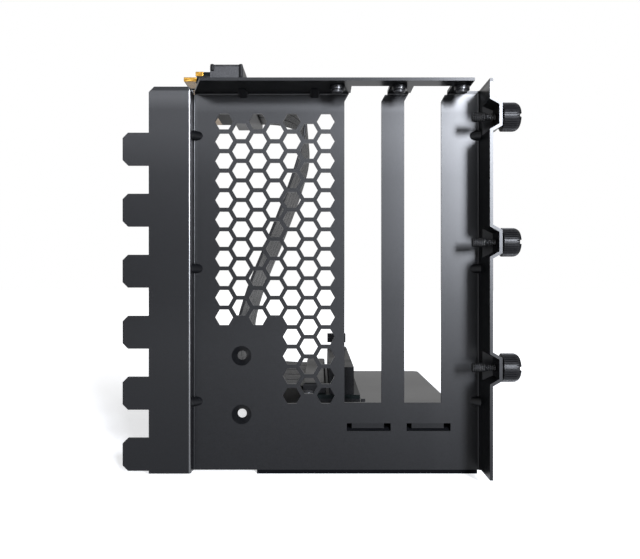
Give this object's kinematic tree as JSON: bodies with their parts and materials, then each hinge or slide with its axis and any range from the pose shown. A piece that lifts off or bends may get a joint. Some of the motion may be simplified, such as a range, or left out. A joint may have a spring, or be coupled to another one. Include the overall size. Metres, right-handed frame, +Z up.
{
  "type": "vertical gpu bracket",
  "caption": "Black sheet-metal bracket that holds a graphics card upright in a case's rear slots, with a riser socket on a shelf and a flat cable up to an edge plug.",
  "frame": {"origin": "front face of the slot comb, in the middle of its strip and halfway up its six tabs", "axes": "-Y looks out of the computer through the windows, +X goes from the comb to the thumbscrews, +Z is up, along the comb"},
  "size_m": [0.1304, 0.166, 0.1547],
  "materials": {
    "black_sheet": "fine matt powder coat",
    "knob_black": "black coated knurled metal",
    "screw_black": "black zinc",
    "black_moulding": "fine matt",
    "spacer_plastic": "matt",
    "green_board": "dark solder mask",
    "plug_board_lacquer": "dark solder mask",
    "gold": "gold plate",
    "ribbon": "satin cable jacket"
  },
  "bodies": {
    "root": {"rear_panel": "black_sheet", "riser_shelf": "black_sheet", "board_spacer": "spacer_plastic", "socket_board": "green_board", "socket_housing": "black_moulding", "socket_contacts": "gold", "cable_cover": "black_moulding", "plug_board": "plug_board_lacquer", "plug_contacts": "gold", "plug_shell_upper": "black_moulding", "plug_shell_lower": "black_moulding", "riser_ribbon_1": "ribbon", "riser_ribbon_2": "ribbon", "riser_ribbon_3": "ribbon", "riser_ribbon_4": "ribbon", "riser_ribbon_5": "ribbon", "card_screw_1": "screw_black", "card_screw_2": "screw_black", "card_screw_3": "screw_black", "board_screw_1": "screw_black", "board_screw_2": "screw_black"},
    "socket_latch": {"socket_latch": "black_moulding"},
    "shank_1": {"thumbscrew_shank_1": "screw_black"},
    "knob_1": {"thumbscrew_knob_1": "knob_black"},
    "shank_2": {"thumbscrew_shank_2": "screw_black"},
    "knob_2": {"thumbscrew_knob_2": "knob_black"},
    "shank_3": {"thumbscrew_shank_3": "screw_black"},
    "knob_3": {"thumbscrew_knob_3": "knob_black"}
  },
  "joints": [
    {"name": "latch_tilt", "type": "hinge", "parent": "root", "child": "socket_latch", "pos_m": [0.05885, 0.1468, -0.0362], "axis": [-1, 0, 0], "range_deg": [0, 25]},
    {"name": "thumbscrew_1_slide", "type": "slide", "parent": "root", "child": "shank_1", "axis": [1, 0, 0], "range_m": [0, 0.0034]},
    {"name": "thumbscrew_1_turn", "type": "hinge", "parent": "shank_1", "child": "knob_1", "pos_m": [0.1093, -0.0057, 0.0601], "axis": [1, 0, 0], "continuous": true},
    {"name": "thumbscrew_2_slide", "type": "slide", "parent": "root", "child": "shank_2", "axis": [1, 0, 0], "range_m": [0, 0.0034]},
    {"name": "thumbscrew_2_turn", "type": "hinge", "parent": "shank_2", "child": "knob_2", "pos_m": [0.1093, -0.0057, 0.01946], "axis": [1, 0, 0], "continuous": true},
    {"name": "thumbscrew_3_slide", "type": "slide", "parent": "root", "child": "shank_3", "axis": [1, 0, 0], "range_m": [0, 0.0034]},
    {"name": "thumbscrew_3_turn", "type": "hinge", "parent": "shank_3", "child": "knob_3", "pos_m": [0.1093, -0.0057, -0.02118], "axis": [1, 0, 0], "continuous": true}
  ]
}
